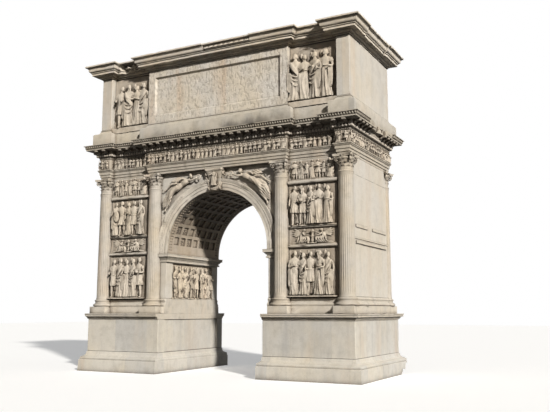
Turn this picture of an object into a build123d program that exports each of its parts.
"""A single-bay Roman triumphal arch in marble, at its real size, in millimetres.

The origin is at ground level under the middle of the passage. X runs along
the front, Y through the passage and Z up. The front faces -Y.
"""

import os
from math import asin, cos, degrees, pi, radians, sin, sqrt

from build123d import *

# Heights of the podium and its mouldings
podium_base_height = 950
podium_height = 1550
podium_cornice_height = 280
plinth_height = 340
base_height = 380

# The passage and its arch
passage_half = 2800
arch_centre_height = 5820
arch_stilt = 170
archivolt_inset = 50
archivolt_width = 530
archivolt_reach = 140
coffering_thickness = 100
spandrel_height = 480
impost_height = 250
impost_reach = 120

# Heights of the entablature and the attic
architrave_height = 500
frieze_height = 540
bed_height = 260
cornice_height = 430
attic_base_height = 890
attic_height = 2750
attic_cornice_height = 650

# Plan of the walls and columns
inner_column_out = 700
column_spacing = 3100
corner_column_in = 260
wall_depth_half = 2320
column_out = 40
podium_margin = 30

# Plan of the entablature and the attic, which step forward at their blocks
end_frieze_out = 50
front_frieze_out = 20
break_depth = 300
block_half = 355
attic_end_out = 40
attic_front_in = 40
attic_break_depth = 350
attic_block_margin = 65

# How far each moulding stands out from the face under it
podium_base_reach = 380
podium_base_passage_reach = 140
podium_cornice_reach = 220
plinth_reach = 110
architrave_reach = 90
bed_reach = 160
cornice_reach = 620
attic_base_reach = 290
attic_cornice_reach = 680

# Columns
column_radius = 360
column_top_radius = 335
flute_count = 24
flute_depth = 26
arris_width = 16
plinth_block_half = 480
column_base_reach = 115
capital_height = 780
abacus_half = 500
abacus_thickness = 110
abacus_hollow = 110
abacus_horn = 70
scroll_radius = 125
scroll_width = 110
turned_sides = 14
scroll_sides = 8

# Bracket at the crown of the arch
keystone_drop = 40
keystone_top_width = 1050
keystone_foot_width = 520
keystone_reach = 330

# Coffers of the vault
coffer_rows = 15
coffers_across = 7
coffer_border = 400
coffer_springing = 230
coffer_rib = 150
coffer_depth = 80
arch_steps = 36

# The edge strips and the panels inside the passage
strip_width = 540
passage_panel_depth = 60
relief_recess = 140
relief_slab_thickness = 70
passage_band_height = 200

# Relief slabs and ledges between the columns of a front
slab_gap = 25
slab_thickness = 90
slab_rim = 70
slab_field_depth = 45
lower_slab_height = 2150
lower_ledge_height = 110
narrow_slab_height = 760
thin_ledge_height = 60
upper_slab_height = 1890
upper_ledge_height = 150
ledge_reach = 190
thin_ledge_reach = 130

# Strings on the end walls
string_height = 120
string_reach = 90
string_gap_low = -500
string_gap_high = 100

# Modillions under the main cornice
modillion_pitch = 420
modillion_width = 190
modillion_drop = 180

# The attic's panels and roof
inscription_thickness = 200
inscription_rim = 380
inscription_depth = 110
inscription_slope = 35
attic_slab_thickness = 110
attic_slab_gap = 60
roof_inset = 700
roof_edge_depth = 110
roof_rise = 80
ridge_width = 900

# The stretch of the attic cornice's right side that sits back from its neighbours
shift_low = -1600
shift_high = 1100
shift_back = 60

# The stretch of the right side that has lost its modillions
lost_modillions_low = -800
lost_modillions_high = 800

# Pieces that are broken off: place from a corner, heading, tilt and size of each
podium_base_losses = [
    ((0, 0, 240), 45, 6, (980, 1500, 700)), ((40, -820, 40), 14, 18, (640, 760, 330)),
    ((-760, 30, 60), 70, -12, (420, 620, 420)),
]
main_cornice_losses = [
    ((20, -1060, 0), 3, 4, (250, 900, 330)), ((10, -330, 0), -2, -5, (300, 800, 340)),
    ((20, 1190, 0), -3, 3, (260, 940, 330)), ((20, -300, -60), 9, 10, (520, 640, 620)),
    ((0, 270, -60), -7, -12, (620, 620, 640)), ((20, 730, -40), 12, 7, (500, 480, 560)),
]
attic_cornice_losses = [
    ((-1430, 20, 0), 12, 6, (430, 520, 640)), ((-1010, 0, 0), -9, -8, (560, 640, 560)),
    ((-690, -330, 0), 38, 0, (210, 200, 420)),
]

# Outlines of the mouldings, as shares of their reach and height, from the foot up
plain_outline = [("line", 0.0, 0.0), ("line", 0.0, 1.0)]
podium_base_outline = [
    ("line", 1.0, 0.0), ("line", 1.0, 0.58), ("line", 0.85, 0.60), ("round", 0.62, 0.74),
    ("line", 0.50, 0.76), ("hollow", 0.06, 0.96), ("line", 0.0, 1.0),
]
podium_cornice_outline = [
    ("line", 0.12, 0.0), ("line", 0.12, 0.14), ("cyma", 0.55, 0.46), ("line", 0.90, 0.50),
    ("line", 0.90, 0.78), ("line", 1.0, 0.82), ("line", 1.0, 1.0),
]
pier_foot_outline = [
    ("line", 0.90, 0.0), ("round", 0.90, 0.34), ("line", 0.62, 0.40), ("hollow", 0.50, 0.66),
    ("round", 0.50, 0.88), ("line", 0.15, 0.92), ("line", 0.0, 1.0),
]
impost_outline = [
    ("line", 0.15, 0.0), ("line", 0.15, 0.22), ("cyma", 0.62, 0.55), ("line", 0.85, 0.58),
    ("line", 0.85, 0.80), ("line", 1.0, 0.85), ("line", 1.0, 1.0),
]
architrave_outline = [
    ("line", -0.30, 0.0), ("line", -0.30, 0.22), ("line", -0.05, 0.24), ("line", -0.05, 0.48),
    ("line", 0.22, 0.50), ("line", 0.22, 0.76), ("round", 0.85, 0.92), ("line", 1.0, 0.92),
    ("line", 1.0, 1.0),
]
bed_outline = [
    ("line", 0.10, 0.0), ("hollow", 0.25, 0.42), ("line", 0.55, 0.46), ("round", 1.0, 0.90),
    ("line", 1.0, 1.0),
]
cornice_outline = [
    ("line", 0.27, 0.0), ("line", 0.27, 0.42), ("line", 0.84, 0.42), ("line", 0.84, 0.60),
    ("cyma", 0.98, 0.92), ("line", 1.0, 0.92), ("line", 1.0, 1.0),
]
attic_base_outline = [
    ("line", 1.0, 0.0), ("line", 1.0, 0.70), ("line", 0.86, 0.74), ("hollow", 0.10, 0.96),
    ("line", 0.0, 1.0),
]
attic_soffit = 0.26
attic_cornice_outline = [
    ("line", 0.06, 0.0), ("line", 0.06, 0.10), ("cyma", 0.22, 0.20), ("line", 0.60, attic_soffit),
    ("line", 0.60, 0.40), ("line", 0.65, 0.43), ("cyma", 0.93, 0.84), ("line", 1.0, 0.86),
    ("line", 1.0, 1.0),
]
column_base_outline = [
    ("line", 1.0, 0.0), ("round", 1.0, 0.36), ("line", 0.66, 0.42), ("hollow", 0.50, 0.66),
    ("round", 0.50, 0.90), ("line", 0.15, 0.92), ("line", 0.0, 1.0),
]
bell_outline = [
    ("line", 0.0, 0.0), ("round", 0.0, 0.12), ("line", 0.40, 0.62), ("round", 1.0, 1.0),
]
archivolt_outline = [
    ("line", 0.0, 0.45), ("line", 0.28, 0.45), ("line", 0.28, 0.62), ("line", 0.54, 0.62),
    ("line", 0.54, 0.80), ("line", 0.74, 0.80), ("line", 0.90, 1.0), ("line", 1.0, 1.0),
    ("line", 1.0, 0.0),
]
curve_swell = {"round": 0.35, "hollow": -0.22, "line": 0}
cyma_swell = 0.18
curve_chords = 3
cyma_chords = 2
turned_chords = 2

# Levels, worked out from the heights
podium_cornice_foot = podium_base_height + podium_height
plinth_foot = podium_cornice_foot + podium_cornice_height
base_foot = plinth_foot + plinth_height
shaft_foot = base_foot + base_height
impost_top = arch_centre_height - arch_stilt
impost_foot = impost_top - impost_height
archivolt_radius = passage_half - archivolt_inset
archivolt_outer = archivolt_radius + archivolt_width
arch_wall_radius = archivolt_radius + coffering_thickness
architrave_foot = arch_centre_height + archivolt_outer + spandrel_height
capital_foot = architrave_foot - capital_height
frieze_foot = architrave_foot + architrave_height
bed_foot = frieze_foot + frieze_height
cornice_foot = bed_foot + bed_height
attic_base_foot = cornice_foot + cornice_height
attic_foot = attic_base_foot + attic_base_height
attic_cornice_foot = attic_foot + attic_height
total_height = attic_cornice_foot + attic_cornice_height

# Plan positions, worked out from the plan sizes
inner_column_x = passage_half + inner_column_out
corner_column_x = inner_column_x + column_spacing
column_xs = (inner_column_x, corner_column_x)
column_y = wall_depth_half + column_out
wall_length_half = corner_column_x + corner_column_in
podium_length_half = corner_column_x + plinth_block_half + podium_margin
podium_depth_half = column_y + plinth_block_half + podium_margin
frieze_length_half = wall_length_half + end_frieze_out
frieze_depth_half = wall_depth_half + front_frieze_out + break_depth
corner_block_inner = corner_column_x - block_half
middle_block_half = inner_column_x + block_half
attic_length_half = frieze_length_half + attic_end_out
attic_depth_half = frieze_depth_half - attic_front_in
attic_corner_inner = corner_block_inner + attic_block_margin
attic_middle_half = middle_block_half + attic_block_margin


def both(half):
    """The range from minus half to plus half."""
    return (-half, half)


def block(x_range, y_range, z_range):
    """A plain box between the given limits."""
    ranges = (x_range, y_range, z_range)
    size = [high - low for low, high in ranges]
    middle = [(low + high) / 2 for low, high in ranges]
    return Pos(*middle) * Box(*size)


def upright(radius, height):
    """A flat-sided round post standing on the origin, wide enough for the radius."""
    outline = RegularPolygon(radius, turned_sides, major_radius=False)
    return extrude(outline, height)


def swell(start, end, bulge, chords=curve_chords):
    """Points from start to end, bowed to the right of the way by a share of its length."""
    run, rise = end[0] - start[0], end[1] - start[1]
    points = []
    for number in range(1, chords + 1):
        along = number / chords
        out = 4 * bulge * along * (1 - along)
        points.append((start[0] + run * along + out * rise, start[1] + rise * along - out * run))
    return points


def climb(outline, reach, height, chords=curve_chords):
    """Points of a moulding's outline as distances out from the face and up from the foot."""
    corners = [(reach * out, height * up) for _, out, up in outline]
    points = corners[:1]
    for (kind, _, _), start, end in zip(outline[1:], corners, corners[1:]):
        if kind == "cyma":
            middle = ((start[0] + end[0]) / 2, (start[1] + end[1]) / 2)
            points += swell(start, middle, cyma_swell, cyma_chords)
            points += swell(middle, end, -cyma_swell, cyma_chords)
        else:
            points += swell(start, end, curve_swell[kind], chords if curve_swell[kind] else 1)
    return points


def section(outline, side_range, reaches, foot, height):
    """A face between two moulded sides, drawn as width and height."""
    low, high = side_range
    sides = []
    for reach in reaches:
        sides.append(climb(outline if reach else plain_outline, reach, height))
    left = [(low - out, foot + up) for out, up in sides[0]]
    right = [(high + out, foot + up) for out, up in sides[1]]
    return make_face(Polyline(*left, *reversed(right), close=True))


def moulded_block(outline, foot, height, x_range, y_range, reach, low_x_reach=None):
    """A block whose sides carry one moulding, mitred at the corners."""
    first_reach = reach if low_x_reach is None else low_x_reach
    far = 2 * total_height
    lengthwise = section(outline, y_range, (reach, reach), foot, height)
    across = section(outline, x_range, (first_reach, reach), foot, height)
    lengthwise = extrude(Plane.YZ.offset(-far / 2) * lengthwise, far)
    across = extrude(Plane.XZ.offset(-far / 2) * across, far)
    return lengthwise & across


def stepped_course(outline, foot, height, reach, plan):
    """A moulded course that stands forward at its corners and in the middle."""
    length_half, depth_half, corner_inner, middle_half, step = plan
    course = moulded_block(outline, foot, height, both(length_half), both(depth_half - step), reach)
    course += moulded_block(outline, foot, height, both(middle_half), both(depth_half), reach)
    end = (corner_inner, length_half)
    corner = moulded_block(outline, foot, height, end, both(depth_half), reach)
    return course + corner + mirror(corner, about=Plane.YZ)


entablature_plan = (
    frieze_length_half, frieze_depth_half, corner_block_inner, middle_block_half, break_depth
)
attic_plan = (
    attic_length_half, attic_depth_half, attic_corner_inner, attic_middle_half, attic_break_depth
)


def stacked(rings):
    """A solid with flat facets between outlines of as many corners, one after the other."""
    faces = [Face(Wire.make_polygon(rings[0])), Face(Wire.make_polygon(rings[-1]))]
    for low, high in zip(rings, rings[1:]):
        for a, b, c, d in zip(low, low[1:] + low[:1], high[1:] + high[:1], high):
            faces.append(Face(Wire.make_polygon([a, b, c, d])))
    solid = Solid(Shell(faces))
    return solid if solid.volume > 0 else Solid(Shell([-face for face in faces]))


def turned(outline, radius, reach, height):
    """A turned piece with flat sides, standing on the origin."""
    rings = []
    angles = [2 * pi * (side + 0.5) / turned_sides for side in range(turned_sides)]
    for out, up in climb(outline, reach, height, turned_chords):
        rings.append([Vector((radius + out) * cos(a), (radius + out) * sin(a), up) for a in angles])
    return stacked(rings)


def losses(corner, pieces):
    """Rough-edged pieces that are broken off near a corner."""
    return [
        Pos(*corner) * Pos(*place) * Rot(0, 0, heading) * Rot(0, tilt, 0) * Box(*size)
        for place, heading, tilt, size in pieces
    ]


def pier_space(foot, top):
    """The space that the right pier and the end wall fill between two levels."""
    return block((passage_half, wall_length_half), both(wall_depth_half), (foot, top))


def podium_base():
    """The spreading foot of the right podium."""
    return moulded_block(
        podium_base_outline, 0, podium_base_height, (passage_half, podium_length_half),
        both(podium_depth_half), podium_base_reach, podium_base_passage_reach,
    )


def podium():
    """The plain body of the right podium, with a sunk panel in the passage."""
    z_range = (podium_base_height, podium_cornice_foot)
    body = block((passage_half, podium_length_half), both(podium_depth_half), z_range)
    sunk = (passage_half, passage_half + passage_panel_depth)
    return body - block(sunk, both(podium_depth_half - strip_width), z_range)


def podium_cornice():
    """The cap of the right podium, which stops at the passage."""
    return moulded_block(
        podium_cornice_outline, podium_cornice_foot, podium_cornice_height,
        (passage_half, podium_length_half), both(podium_depth_half), podium_cornice_reach, 0,
    )


def pier_base():
    """The plinth course and the moulded foot of the right pier."""
    out = wall_length_half + plinth_reach
    course = block(
        (passage_half, out), both(wall_depth_half + plinth_reach), (plinth_foot, base_foot)
    )
    for x in column_xs:
        x_range = (x - plinth_block_half, x + plinth_block_half)
        y_range = both(column_y + plinth_block_half)
        course += block(x_range, y_range, (plinth_foot, base_foot))
    return course + moulded_block(
        pier_foot_outline, base_foot, base_height, (passage_half, wall_length_half),
        both(wall_depth_half), plinth_reach, 0,
    )


def columns(piece, foot, let_into):
    """The four copies of a column piece on the front, let into the wall behind."""
    right = [Pos(x, -column_y, foot) * piece - let_into for x in column_xs]
    return right + [mirror(column, about=Plane.YZ) for column in right]


def fluted_ring(shrink, height):
    """A fluted shaft's outline at a height, each flute with two sides and a floor."""
    step = 2 * pi / flute_count
    edge = step / 2 - arris_width / 2 / column_radius
    floor_edge, floor_radius = step / 5, column_radius - flute_depth
    points = []
    for number in range(flute_count):
        middle = number * step
        for angle, radius in (
            (middle - edge, column_radius), (middle - floor_edge, floor_radius),
            (middle + floor_edge, floor_radius), (middle + edge, column_radius),
        ):
            out = shrink * radius
            points.append(Vector(out * cos(angle), out * sin(angle), height))
    return points


def column_shaft():
    """A tapering fluted shaft, standing on the origin."""
    height = capital_foot - shaft_foot
    return stacked([fluted_ring(1, 0), fluted_ring(column_top_radius / column_radius, height)])


def column_capital():
    """A capital with its bell, four corner scrolls and hollow-sided top slab."""
    bell_height = capital_height - abacus_thickness
    capital = turned(bell_outline, column_top_radius, abacus_half / 5, bell_height)
    horn = abacus_half - abacus_horn
    side = [(-horn, -abacus_half)]
    side += swell((-horn, -abacus_half), (horn, -abacus_half), -abacus_hollow / (2 * horn))
    outline = []
    for turn in range(4):
        angle = radians(90 * turn)
        outline += [(x * cos(angle) - y * sin(angle), x * sin(angle) + y * cos(angle)) for x, y in side]
    slab = extrude(make_face(Polyline(*outline, close=True)), abacus_thickness)
    capital += Pos(0, 0, bell_height) * slab
    out = sqrt(2) * horn - scroll_radius
    disc = extrude(RegularPolygon(scroll_radius, scroll_sides), scroll_width / 2, both=True)
    scroll = Pos(out, 0, bell_height - scroll_radius) * Rot(90, 0, 0) * disc
    arm = block((0, out), both(scroll_width / 2), (bell_height - scroll_radius, bell_height))
    for turn in range(4):
        capital += Rot(0, 0, 45 + 90 * turn) * (scroll + arm)
    return capital


def pier():
    """The right pier and end wall, with the sunk field of the passage relief."""
    low = pier_space(shaft_foot, impost_top)
    high_x = (inner_column_x, wall_length_half)
    high = block(high_x, both(wall_depth_half), (impost_top, architrave_foot))
    return low + high - passage_field(relief_recess)


def passage_field(depth):
    """The sunk field of the passage relief, measured back from the passage's side."""
    return block(
        (passage_half, passage_half + depth), both(wall_depth_half - strip_width),
        (shaft_foot, impost_foot - passage_band_height),
    )


def passage_relief():
    """The slab that carries the passage relief on the right pier."""
    return passage_field(relief_recess) - passage_field(relief_recess - relief_slab_thickness)


def impost():
    """The impost moulding round the passage end of the right pier."""
    ring = moulded_block(
        impost_outline, impost_foot, impost_height,
        (passage_half, wall_length_half), both(wall_depth_half), impost_reach,
    )
    ring &= block((0, inner_column_x), both(podium_depth_half), (impost_foot, impost_top))
    ring -= pier_space(impost_foot, impost_top)
    for y in both(column_y):
        ring -= Pos(inner_column_x, y, 0) * upright(column_radius, impost_top)
    return ring


def arch_angles():
    """Angles of the coffering's corners round the arch, from the right springing."""
    first = degrees(asin(coffer_springing / archivolt_radius))
    pitch = (180 - 2 * first) / coffer_rows
    half_rib = degrees(coffer_rib / 2 / archivolt_radius)
    angles = [0]
    for row in range(coffer_rows):
        angles += [first + row * pitch + half_rib, first + (row + 1) * pitch - half_rib]
    return angles + [180]


def arch_opening(radius):
    """The space under the arch, from the imposts to the crown, with flat sides like the coffering."""
    points = [(radius, -arch_stilt)]
    for angle in arch_angles():
        points.append((radius * cos(radians(angle)), radius * sin(radians(angle))))
    points.append((-radius, -arch_stilt))
    face = Pos(0, arch_centre_height) * make_face(Polyline(*points, close=True))
    return extrude(Plane.XZ.offset(-wall_depth_half) * face, 2 * wall_depth_half)


def arch_wall():
    """The wall over the passage, between the inner columns."""
    wall = block(both(inner_column_x), both(wall_depth_half), (impost_top, architrave_foot))
    return wall - arch_opening(arch_wall_radius)


def vault_coffering():
    """The lining of the vault, with sunk coffers between ribs."""
    lining = arch_opening(arch_wall_radius) - arch_opening(archivolt_radius)
    angles = arch_angles()[1:-1]
    across = 2 * (wall_depth_half - coffer_border) / coffers_across
    coffers = []
    for low, high in zip(angles[0::2], angles[1::2]):
        middle, half = radians((low + high) / 2), radians((high - low) / 2)
        floor = archivolt_radius * cos(half) + coffer_depth
        size = (2 * coffer_depth, across - coffer_rib, 2 * archivolt_radius * sin(half))
        for number in range(coffers_across):
            y = (number - (coffers_across - 1) / 2) * across
            box = Pos(floor - coffer_depth, 0, 0) * Box(*size)
            turn = Rot(0, -degrees(middle), 0)
            coffers.append(Pos(0, y, arch_centre_height) * turn * box)
    return lining - coffers


def archivolt():
    """The moulded band round the front of the arch, with legs down to the imposts."""
    points = [(0, 0)] + climb(archivolt_outline, archivolt_width, archivolt_reach)
    angles = [0] + [180 * number / arch_steps for number in range(arch_steps + 1)] + [180]
    rings = []
    for number, angle in enumerate(angles):
        drop = arch_stilt if number in (0, len(angles) - 1) else 0
        ring = []
        for out, lift in points:
            radius = archivolt_radius + out
            x, z = radius * cos(radians(angle)), radius * sin(radians(angle))
            ring.append(Vector(x, -wall_depth_half - lift, arch_centre_height + z - drop))
        rings.append(ring)
    band = stacked(rings) - keystone()
    for x in both(inner_column_x):
        band -= Pos(x, -column_y, 0) * upright(column_radius, architrave_foot)
    return band


def keystone():
    """The scrolled bracket at the crown of the front arch."""
    foot = arch_centre_height + archivolt_radius - keystone_drop
    height, reach = architrave_foot - foot, keystone_reach
    front = [(0.45 * reach, 0), *swell((0.45 * reach, 0), (0.52 * reach, 0.22 * height), 0.3)]
    front += swell(front[-1], (0.80 * reach, 0.86 * height), -0.10)
    front += swell(front[-1], (reach, height), 0.25)
    side = [(0, foot), *[(-out, foot + up) for out, up in front], (0, architrave_foot)]
    width = keystone_top_width
    bracket = extrude(Plane.YZ.offset(-width / 2) * make_face(Polyline(*side, close=True)), width)
    half_foot, half_top = keystone_foot_width / 2, keystone_top_width / 2
    wedge = [(-half_foot, foot), (half_foot, foot), (half_top, architrave_foot), (-half_top, architrave_foot)]
    face = make_face(Polyline(*wedge, close=True))
    return Pos(0, -wall_depth_half, 0) * (bracket & extrude(Plane.XZ * face, 2 * reach))


def sunk_slab(x_range, face, thickness, z_range, field_depth):
    """A slab in front of a wall face, with a sunk field inside a rim."""
    front = face - thickness
    slab = block(x_range, (front, face), z_range)
    field_x = (x_range[0] + slab_rim, x_range[1] - slab_rim)
    field_z = (z_range[0] + slab_rim, z_range[1] - slab_rim)
    return slab - block(field_x, (front, front + field_depth), field_z)


def ledge(foot, height, reach):
    """A rounded ledge on the front wall, from column to column."""
    outline = [(0, foot), (-0.55 * reach, foot)]
    outline += swell(outline[-1], (-reach, foot + 0.62 * height), -0.25)
    outline += [(-reach, foot + height), (0, foot + height)]
    side = Plane.YZ.offset(inner_column_x) * make_face(Polyline(*outline, close=True))
    strip = Pos(0, -wall_depth_half, 0) * extrude(side, column_spacing)
    for x in column_xs:
        strip -= Pos(x, -column_y, 0) * upright(column_radius + slab_gap, architrave_foot)
    return strip


def front_bay():
    """The slabs and the ledges between the two right columns of the front."""
    side_gap, top_gap = column_radius + slab_gap, abacus_half + slab_gap
    x_range = (inner_column_x + side_gap, corner_column_x - side_gap)
    top_x_range = (inner_column_x + top_gap, corner_column_x - top_gap)
    slab_heights = (lower_slab_height, narrow_slab_height, upper_slab_height)
    ledge_sizes = (
        (lower_ledge_height, ledge_reach), (thin_ledge_height, thin_ledge_reach),
        (upper_ledge_height, ledge_reach),
    )
    slabs, ledges, foot = [], [], shaft_foot
    for slab_height, (ledge_height, reach) in zip(slab_heights, ledge_sizes):
        z_range = (foot + slab_gap, foot + slab_height - slab_gap)
        slabs.append(sunk_slab(x_range, -wall_depth_half, slab_thickness, z_range, slab_field_depth))
        ledges.append(ledge(foot + slab_height, ledge_height, reach))
        foot += slab_height + ledge_height
    z_range = (foot + slab_gap, architrave_foot - slab_gap)
    slabs.append(sunk_slab(top_x_range, -wall_depth_half, slab_thickness, z_range, slab_field_depth))
    return slabs, ledges


def end_strings():
    """The strings on the right end wall, between the corner columns."""
    end = column_y - column_radius - slab_gap
    low = shaft_foot + lower_slab_height
    high = low + lower_ledge_height + narrow_slab_height - string_height / 2
    x_range = (wall_length_half, wall_length_half + string_reach)
    places = ((low, both(end)), (high, (-end, string_gap_low)), (high, (string_gap_high, end)))
    return [block(x_range, y_range, (foot, foot + string_height)) for foot, y_range in places]


def evenly(start, end):
    """Middles of brackets spaced evenly between two corners of a face, one at each end."""
    low, high = start + modillion_width / 2, end - modillion_width / 2
    count = max(1, round((high - low) / modillion_pitch))
    return [low + (high - low) * number / count for number in range(count + 1)]


def modillions():
    """The brackets under the main cornice, round all four sides."""
    soffit = cornice_foot + 0.42 * cornice_height
    inner, outer = 0.27 * cornice_reach, 0.80 * cornice_reach
    outline = [
        (inner, soffit), (inner, soffit - modillion_drop),
        (0.5 * (inner + outer), soffit - 0.85 * modillion_drop),
        (outer, soffit - 0.45 * modillion_drop), (outer, soffit),
    ]
    side = make_face(Polyline(*outline, close=True))
    bracket = extrude(Plane.XZ * side, modillion_width / 2, both=True)
    forward = Rot(0, 0, -90) * bracket
    inner_y = frieze_depth_half - break_depth
    gap = (middle_block_half + cornice_reach, corner_block_inner - cornice_reach)
    corner = [Pos(x, -inner_y, 0) * forward for x in evenly(*gap)]
    for x in evenly(corner_block_inner, frieze_length_half):
        corner.append(Pos(x, -frieze_depth_half, 0) * forward)
    front = with_twins(corner)
    for x in evenly(*both(middle_block_half)):
        front.append(Pos(x, -frieze_depth_half, 0) * forward)
    back = [mirror(piece, about=Plane.XZ) for piece in front]
    left, right = [], []
    for y in evenly(*both(frieze_depth_half)):
        piece = Pos(frieze_length_half, y, 0) * bracket
        left.append(mirror(piece, about=Plane.YZ))
        if not lost_modillions_low < y < lost_modillions_high:
            right.append(piece)
    return front + back + left + right


def main_cornice():
    """The main cornice, with the broken stretch of its right side."""
    course = stepped_course(
        cornice_outline, cornice_foot, cornice_height, cornice_reach, entablature_plan
    )
    return course - losses((frieze_length_half + cornice_reach, 0, attic_base_foot), main_cornice_losses)


def attic():
    """The body of the attic, with its corner blocks and its middle block."""
    z_range = (attic_foot, attic_cornice_foot)
    body = block(both(attic_length_half), both(attic_depth_half - attic_break_depth), z_range)
    middle_depth = attic_depth_half - inscription_thickness
    body += block(both(attic_middle_half), both(middle_depth), z_range)
    corner = block((attic_corner_inner, attic_length_half), both(attic_depth_half), z_range)
    return body + corner + mirror(corner, about=Plane.YZ)


def inscription_panel():
    """The framed slab in the middle of the attic's front, with a bare sunk field."""
    y_range = (-attic_depth_half, -attic_depth_half + inscription_thickness)
    slab = block(both(attic_middle_half), y_range, (attic_foot, attic_cornice_foot))
    field = Rectangle(2 * (attic_middle_half - inscription_rim), attic_height - 2 * inscription_rim)
    middle = (0, -attic_depth_half, attic_foot + attic_height / 2)
    front = Plane(origin=middle, x_dir=(1, 0, 0), z_dir=(0, 1, 0))
    return slab - extrude(front * field, inscription_depth, taper=inscription_slope)


def attic_slabs():
    """The two relief slabs beside the inscription, on the attic's front."""
    x_range = (attic_middle_half + attic_slab_gap, attic_corner_inner - attic_slab_gap)
    z_range = (attic_foot + attic_slab_gap, attic_cornice_foot - attic_slab_gap)
    face = attic_break_depth - attic_depth_half
    slab = sunk_slab(x_range, face, attic_slab_thickness, z_range, attic_slab_thickness / 2)
    return [slab, mirror(slab, about=Plane.YZ)]


roof_length_half = attic_length_half + attic_cornice_reach - roof_inset
roof_depth_half = attic_depth_half - attic_break_depth + attic_cornice_reach - roof_inset


def attic_cornice():
    """The crowning cornice, sunk on top for the roof, with a stretch set back on its right side."""
    cornice = stepped_course(
        attic_cornice_outline, attic_cornice_foot, attic_cornice_height,
        attic_cornice_reach, attic_plan,
    )
    x_range = (attic_length_half, attic_length_half + attic_cornice_reach)
    soffit = attic_cornice_foot + attic_soffit * attic_cornice_height
    stretch = block(x_range, (shift_low, shift_high), (soffit, total_height))
    cornice = cornice - stretch + Pos(-shift_back, 0, 0) * (cornice & stretch)
    corner_y = attic_break_depth - attic_depth_half - attic_cornice_reach
    cornice -= losses((-attic_middle_half, corner_y, total_height), attic_cornice_losses)
    z_range = (total_height - roof_edge_depth, total_height)
    return cornice - block(both(roof_length_half), both(roof_depth_half), z_range)


def attic_roof():
    """A low hipped roof of stone slabs, which stays below the cornice's edge."""
    def level(length_half, depth_half, height):
        corners = ((-1, -1), (1, -1), (1, 1), (-1, 1))
        return [Vector(x * length_half, y * depth_half, height) for x, y in corners]
    foot = total_height - roof_edge_depth
    top_depth = ridge_width / 2
    top_length = roof_length_half - (roof_depth_half - top_depth)
    rings = [
        level(roof_length_half, roof_depth_half, foot),
        level(top_length, top_depth, foot + roof_rise),
    ]
    return stacked(rings)


def write(name, shape):
    """Save a sub-part under its name."""
    export_step(shape, f"parts/{name}.step")


def write_sides(name, shape):
    """Save a right-hand sub-part and its mirrored left-hand one."""
    write(f"{name}_right", shape)
    write(f"{name}_left", mirror(shape, about=Plane.YZ))


def write_fronts(name, solids):
    """Save a sub-part of the front and its mirrored one at the back."""
    write(f"{name}_front", Compound(children=solids))
    write(f"{name}_back", Compound(children=[mirror(solid, about=Plane.XZ) for solid in solids]))


def with_twins(solids):
    """Right-hand solids of the front, with their mirrored left-hand ones."""
    return solids + [mirror(solid, about=Plane.YZ) for solid in solids]


os.makedirs("parts", exist_ok=True)

pier_foot = pier_base()
whole_base = podium_base()
base_corner = (podium_length_half + podium_base_reach, podium_depth_half + podium_base_reach, 0)
write("podium_base_right", whole_base - losses(base_corner, podium_base_losses))
write("podium_base_left", mirror(whole_base, about=Plane.YZ))
write_sides("podium", podium())
write_sides("podium_cornice", podium_cornice())
write_sides("pier_base", pier_foot)
write_sides("pier", pier())
write_sides("impost", impost())
write_sides("passage_relief", passage_relief())
write("arch_wall", arch_wall())
write("vault_coffering", vault_coffering())
write_fronts("archivolt", [archivolt()])
write_fronts("keystone", [keystone()])

column_base = turned(column_base_outline, column_radius, column_base_reach, base_height)
upper_pier = pier_space(shaft_foot, architrave_foot)
write_fronts("column_bases", columns(column_base, base_foot, pier_foot))
write_fronts("column_shafts", columns(column_shaft(), shaft_foot, upper_pier))
write_fronts("capitals", columns(column_capital(), capital_foot, upper_pier))

bay_slabs, bay_ledges = front_bay()
write_fronts("wall_reliefs", with_twins(bay_slabs))
write_fronts("wall_ledges", with_twins(bay_ledges))
write_sides("end_strings", Compound(children=end_strings()))

for course_name, outline, foot, height, reach, plan in (
    ("architrave", architrave_outline, architrave_foot, architrave_height, architrave_reach,
     entablature_plan),
    ("frieze", plain_outline, frieze_foot, frieze_height, 0, entablature_plan),
    ("cornice_bed", bed_outline, bed_foot, bed_height, bed_reach, entablature_plan),
    ("attic_base", attic_base_outline, attic_base_foot, attic_base_height, attic_base_reach,
     attic_plan),
):
    write(course_name, stepped_course(outline, foot, height, reach, plan))
write("main_cornice", main_cornice())
write("modillions", Compound(children=modillions()))
write("attic", attic())
write_fronts("inscription_panel", [inscription_panel()])
write_fronts("attic_reliefs", attic_slabs())
write("attic_cornice", attic_cornice())
write("attic_roof", attic_roof())
